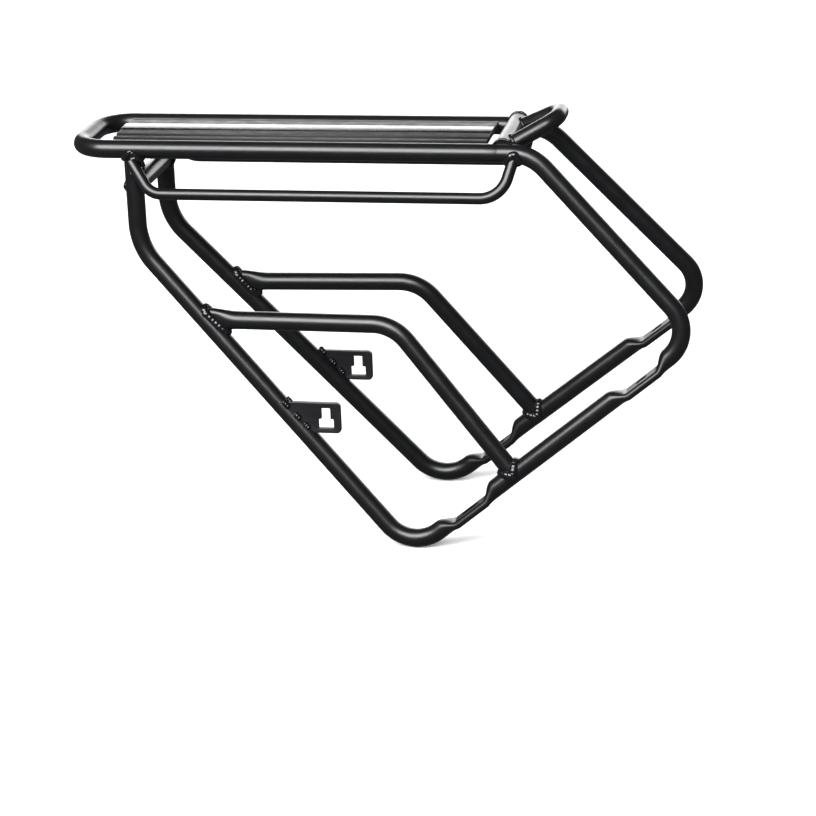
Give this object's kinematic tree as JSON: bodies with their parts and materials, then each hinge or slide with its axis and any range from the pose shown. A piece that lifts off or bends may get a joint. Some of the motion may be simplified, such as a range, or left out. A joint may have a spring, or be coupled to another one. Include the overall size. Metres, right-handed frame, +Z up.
{
  "type": "bicycle rear carrier",
  "caption": "Welded aluminium rear carrier for a bicycle: a railed platform with a flat deck on two bent side frames, with pannier rails, braces, slotted mounting pads and a front hoop.",
  "frame": {"origin": "centre of the whole carrier's bounding box", "axes": "+X points forward to the saddle, +Y to the bicycle's left, +Z up; the platform is level"},
  "size_m": [0.5401, 0.1818, 0.3753],
  "materials": {
    "frame_black": "smooth black powder coat, half gloss, over welded aluminium tube",
    "deck_black": "fine-grained satin black coat on the deck panel, which shines grey at a low angle",
    "strip_black": "smooth gloss black strip along the deck's middle, which shines white at a low angle"
  },
  "bodies": {
    "root": {"platform_loop": "frame_black", "side_tube_left": "frame_black", "side_tube_right": "frame_black", "side_brace_left": "frame_black", "side_brace_right": "frame_black", "pannier_rail_left": "frame_black", "pannier_rail_right": "frame_black", "front_hoop": "frame_black", "front_cross_tube": "frame_black", "rear_cross_tube": "frame_black", "deck_bearer_front": "frame_black", "deck_bearer_rear": "frame_black", "deck_plate": "deck_black", "deck_strip": "strip_black", "keyhole_lug_left": "frame_black", "keyhole_lug_right": "frame_black", "weld_leg_top_left": "frame_black", "weld_leg_top_right": "frame_black", "weld_brace_top_left": "frame_black", "weld_brace_top_right": "frame_black", "weld_brace_foot_left": "frame_black", "weld_brace_foot_right": "frame_black", "weld_pannier_front_left": "frame_black", "weld_pannier_front_right": "frame_black", "weld_pannier_rear_left": "frame_black", "weld_pannier_rear_right": "frame_black", "weld_lug_left": "frame_black", "weld_lug_right": "frame_black", "weld_front_cross": "frame_black", "weld_rear_cross": "frame_black", "weld_hoop_foot": "frame_black"}
  },
  "joints": []
}
